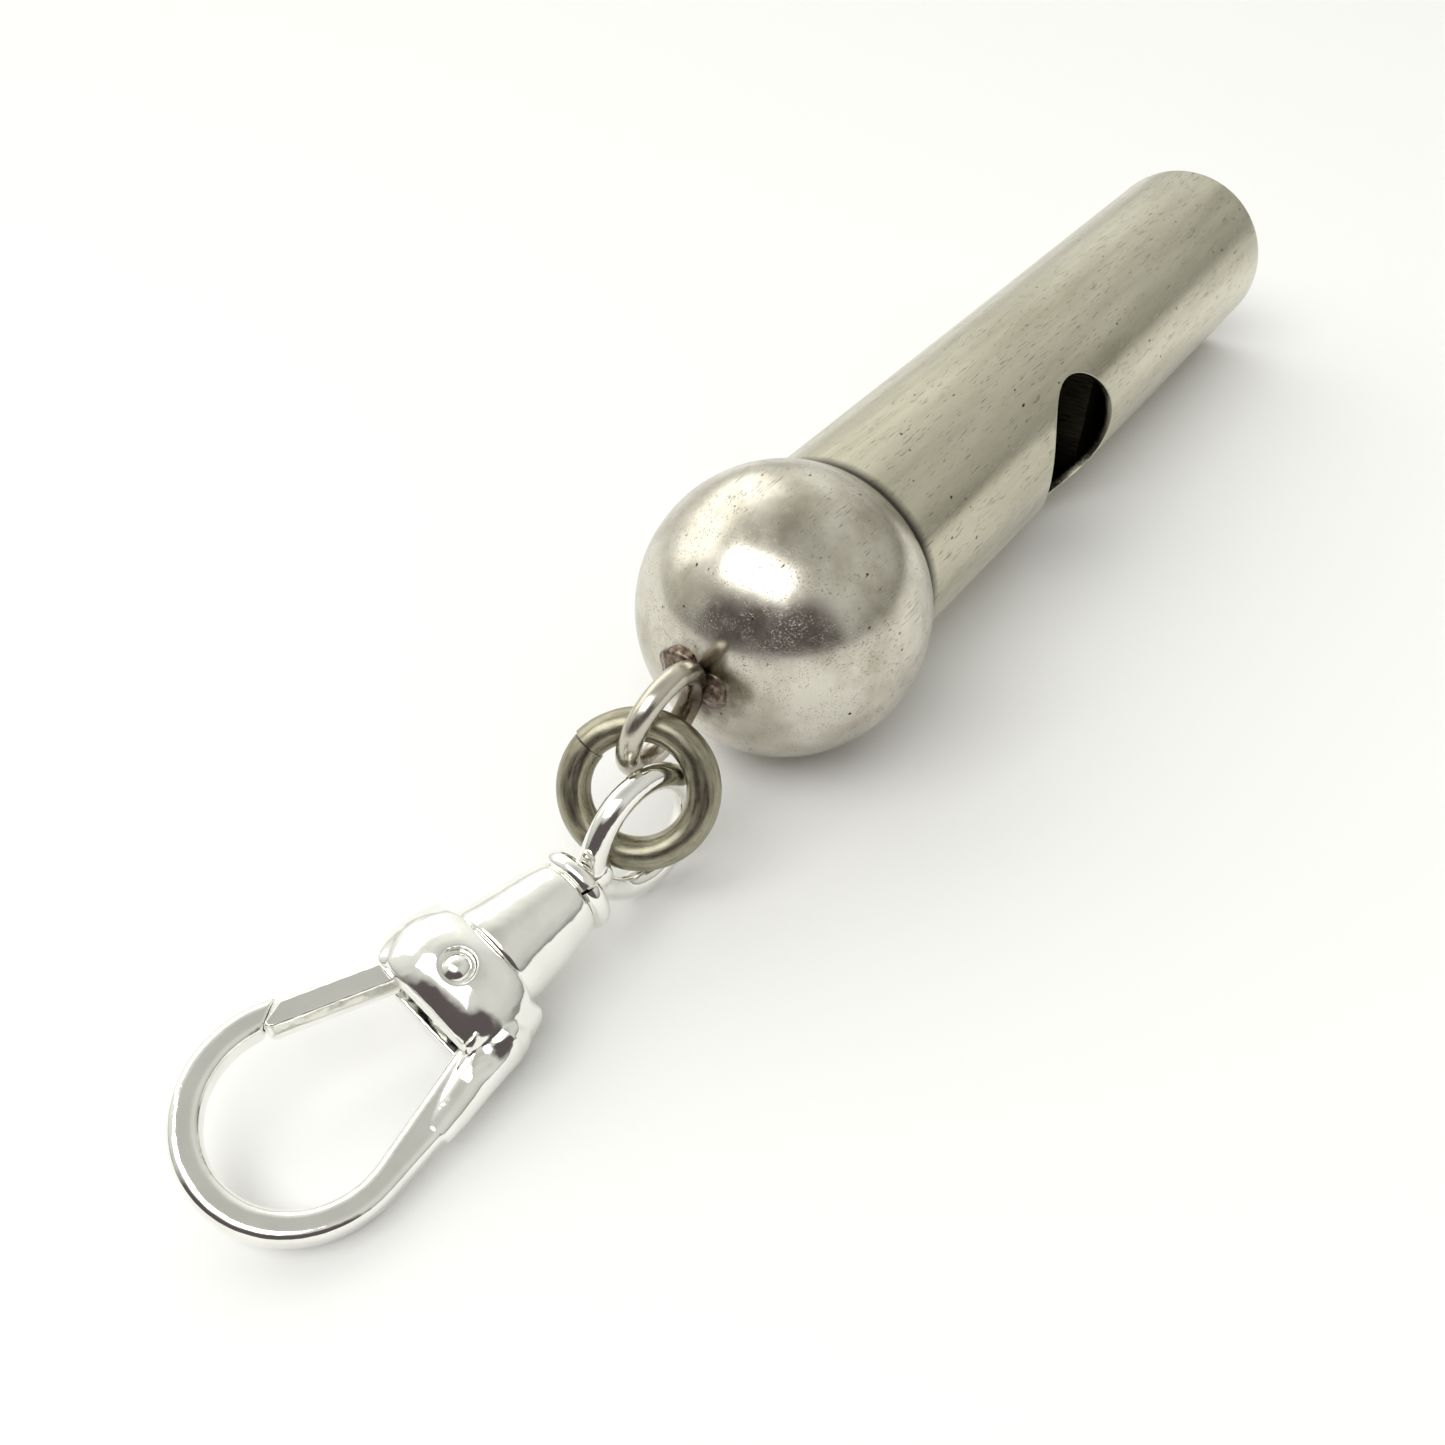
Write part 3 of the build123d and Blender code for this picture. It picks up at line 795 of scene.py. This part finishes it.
leg_flare = [
    (0.9, -2.75, 0.5, 0.9), (0.4, -2.85, 0.72, 1.35), (-0.2, -2.90, 0.85, 1.45),
    (-0.9, -2.93, 0.9, 1.3), (-1.6, -3.02, 0.9, 1.1), (-2.4, -3.18, 0.86, 0.92),
    (-3.3, -3.38, 0.8, 0.8), (-4.3, -3.60, 0.66, 0.68),
]


def oval_loft(name, stations, place):
    """Skin over ovals that stand across a run of points: (x, y, half width, half thickness)."""
    count, points, faces = 40, [], []
    for i, (x, y, wide, thick) in enumerate(stations):
        before = stations[max(0, i - 1)]
        after = stations[min(len(stations) - 1, i + 1)]
        way = Vector((after[0] - before[0], after[1] - before[1], 0)).normalized()
        side = Vector((-way.y, way.x, 0))
        for step in range(count):
            turn = 2 * pi * step / count
            spot = Vector((x, y, 0)) + side * wide * cos(turn) + Vector((0, 0, thick * sin(turn)))
            points.append(place @ spot * MM)
    for i in range(len(stations) - 1):
        for step in range(count):
            after = (step + 1) % count
            low, high = i * count, (i + 1) * count
            faces.append((low + step, low + after, high + after, high + step))
    faces.append(tuple(range(count)))
    faces.append(tuple(range((len(stations) - 1) * count, len(stations) * count)))
    mesh = bpy.data.meshes.new(name)
    mesh.from_pydata(points, [], faces)
    outward(mesh)
    return mesh


into_clasp = clasp_axes.inverted()
# the knuckle's crown and how far its dome runs to front and back, its lips, and its round ends
crown_at, dome_front, dome_back = -0.05, 1.9, 2.3
lip_half, lip_share = 0.84, 0.06
end_from, end_run, end_middle = 1.5, 2.1, 0.1
leg_front, leg_side = -1.0, -2.2


def domed(spot):
    """Swell the knuckle into a pill: top and bottom fall away to thin lips, the ends are round."""
    here = into_clasp @ spot
    leg = here.x < leg_front - 0.9 * max(0.0, leg_side - here.y) and here.y < leg_side
    if -1.9 < here.x < 1.75 and abs(here.y) < 3.7 and not leg:
        rise = abs(here.z)
        if rise > lip_half:
            fall = (here.x - crown_at) / (dome_front if here.x < crown_at else dome_back)
            keep = lip_share + (1 - lip_share) * sqrt(max(0.0, 1 - abs(fall) ** 2.6))
            here.z *= (lip_half + (rise - lip_half) * keep) / rise
        past = (abs(here.y) - end_from) / end_run
        if past > 0:
            gather = sqrt(max(0.08, 1 - past * past))
            skin = min(1.0, max(0.0, (rise - 0.7) / 0.5))
            here.x = end_middle + (here.x - end_middle) * (1 + (gather - 1) * skin)
    return clasp_axes @ here


cast_copy = frame["nodes"]["hook_body"].data.copy()
outward(cast_copy)
leg = oval_loft("leg_flare", leg_flare, clasp_axes)
hook = fused("hook_cast", [cast_copy, leg], 0.05, 16, domed)
# painted shade: points inside the hook's mouth get a dark tint by how deep they lie, standing in
# for the shade there
mouth_half_h, mouth_back, mouth_front, mouth_left, mouth_right = 0.80, 1.25, 1.5, 2.7, 2.3
painted_shade = hook.data.attributes.new("painted_shade", "FLOAT", "POINT")
for vertex in hook.data.vertices:
    spot = into_clasp @ (vertex.co / MM)
    deep = min(
        mouth_half_h - abs(spot.z), mouth_back - spot.x, spot.x + mouth_front,
        mouth_left - spot.y, spot.y + mouth_right,
    )
    painted_shade.data[vertex.index].value = max(0.0, min(1.0, deep / 0.25)) * 0.8
hook.data.materials.append(plate)
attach(hook, "clasp")
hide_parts("hook_body")

# ---- gate: a plated lever with a round hub on the pin, its end cut at a slant to shut behind the
# ---- hook's tip; its corners are broken by polishing.

gate_copy = frame["nodes"]["gate"].data.copy()
outward(gate_copy)
gate_slope, gate_offset = radians(20.0), 1.45
hub_edge, lever_from, lever_half_h, flat_half_h = 1.2, 0.6, 0.47, 0.18
gate_axes = clasp_axes @ Matrix.Rotation(pi - gate_slope, 4, "Z")
into_gate = gate_axes.inverted()


def bevelled(spot):
    """Draw the lever's sides in towards its top and bottom, away from the hub."""
    here = into_gate @ spot
    if here.x > hub_edge:
        slope = max(0.0, abs(here.z) - flat_half_h) / lever_half_h
        ease = min(1.0, (here.x - hub_edge) / lever_from)
        here.y = -gate_offset + (here.y + gate_offset) * (1 - 0.42 * slope * ease)
    return gate_axes @ here


gate = fused("gate_lever", [gate_copy], 0.04, 9, bevelled)
gate.data.materials.append(plate)
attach(gate, "gate")
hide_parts("gate")

# ---- gate pin and spring: a plated pin domed over at both ends, and a strip of spring steel that
# ---- pushes the gate shut.

frame["nodes"]["gate_pin"].data.materials.clear()
frame["nodes"]["gate_pin"].data.materials.append(plate)
spring_steel, tree, shader, where = metal("blued spring steel strip", 0.32)
temper = noise(tree, where, 0.4, 3.0, 0.5)
tree.links.new(ramp(tree, temper, ((0.3, "4A4A4C"), (0.7, "77777A"))), shader.inputs["Base Color"])
frame["nodes"]["gate_spring"].data.materials.clear()
frame["nodes"]["gate_spring"].data.materials.append(spring_steel)

# ---- table, studio and camera: a matt white card under a wide soft window on the far side and a
# ---- small bright one high on the near side, in a pale room.

floor_mesh = bpy.data.meshes.new("table_top")
half_m = 1.2
corners = [(-half_m, -half_m, 0), (half_m, -half_m, 0), (half_m, half_m, 0), (-half_m, half_m, 0)]
floor_mesh.from_pydata(corners, [], [(0, 1, 2, 3)])
floor = as_object("table_top", floor_mesh)
paper = bpy.data.materials.new("matt white card")
paper.use_nodes = True
card = paper.node_tree.nodes["Principled BSDF"]
card.inputs["Base Color"].default_value = linear("FAFAFA")
card.inputs["Roughness"].default_value = 0.7
card.inputs["Specular IOR Level"].default_value = 0.2
floor.data.materials.append(paper)

world = bpy.data.worlds.new("studio")
bpy.context.scene.world = world
world.use_nodes = True
tree = world.node_tree
tree.nodes.clear()
way = add_node(tree, "ShaderNodeTexCoord").outputs["Generated"]
height = add_node(tree, "ShaderNodeSeparateXYZ", Vector=way).outputs["Z"]
rise = add_node(tree, "ShaderNodeMapRange", Value=height, From_Min=-1.0, From_Max=1.0).outputs[0]
walls = ramp(
    tree, rise,
    ((0.0, 0.92), (0.494, 0.80), (0.503, 0.20), (0.54, 0.40), (0.60, 0.60), (0.76, 0.72),
     (0.90, 0.70), (0.955, 0.60), (1.0, 0.54)),
)
# the far side of the room is lighter, and low on the near side stands a dark shape
far_side = Vector((0.45, 0.85, 0.25)).normalized()
facing = add_node(tree, "ShaderNodeVectorMath", {"operation": "DOT_PRODUCT"}, i0=way, i1=far_side)
glow = ramp(tree, facing.outputs["Value"], ((0.35, 0.0), (0.75, 0.34), (0.95, 0.46)))
near_side = Vector((-0.93, -0.37, 0.0)).normalized()
facing = add_node(tree, "ShaderNodeVectorMath", {"operation": "DOT_PRODUCT"}, i0=way, i1=near_side)
across = ramp(tree, facing.outputs["Value"], ((0.47, 0.0), (0.62, 1.0)))
below = ramp(tree, height, ((0.58, 1.0), (0.70, 0.0)))
figure = blended(tree, 1.0, across, below, "MULTIPLY")
lit = blended(tree, 1.0, walls, glow, "ADD")
lit = blended(tree, figure, lit, linear("5E575A"))
lit = blended(tree, 1.0, lit, linear("FBFBF4"), "MULTIPLY")
seen = add_node(tree, "ShaderNodeLightPath").outputs["Is Camera Ray"]
lit = blended(tree, seen, lit, linear("F6F6F6"))
sky = add_node(tree, "ShaderNodeBackground", Color=lit, Strength=1.0)
add_node(tree, "ShaderNodeOutputWorld", Surface=sky.outputs[0])


def soft_light(name, azimuth, rise, distance, size, power, tone):
    """A square panel that faces the middle of the object from a direction in degrees."""
    data = bpy.data.lights.new(name, "AREA")
    data.shape = "RECTANGLE"
    data.size, data.size_y = size
    data.energy = power
    data.color = linear(tone)[:3]
    lamp = bpy.data.objects.new(name, data)
    bpy.context.scene.collection.objects.link(lamp)
    level = cos(radians(rise))
    way = Vector((level * cos(radians(azimuth)), level * sin(radians(azimuth)), sin(radians(rise))))
    lamp.location = way * distance + Vector((0, 0, 0.005))
    lamp.rotation_euler = way.to_track_quat("Z", "Y").to_euler()


soft_light("far_window", 75, 36, 1.0, (1.3, 0.7), 2.3, "FFFDF8")
soft_light("near_window", 178, 60, 0.5, (0.50, 0.24), 1.1, "FFFFFF")

camera_data = bpy.data.cameras.new("camera")
camera_data.sensor_width = 36.0
camera_data.lens = 36.12
camera_data.clip_start = 0.001
camera = bpy.data.objects.new("camera", camera_data)
bpy.context.scene.collection.objects.link(camera)
right, down, forward = (
    Vector((0.5695, -0.8203, -0.0525)),
    Vector((-0.5647, -0.3440, -0.7502)),
    Vector((0.5974, 0.4568, -0.6591)),
)
camera.matrix_world = Matrix.Translation(Vector((-50.781, -29.604, 46.450)) * MM) @ Matrix(
    (right, -down, -forward)
).transposed().to_4x4()
bpy.context.scene.camera = camera
bpy.context.scene.view_settings.view_transform = "Standard"
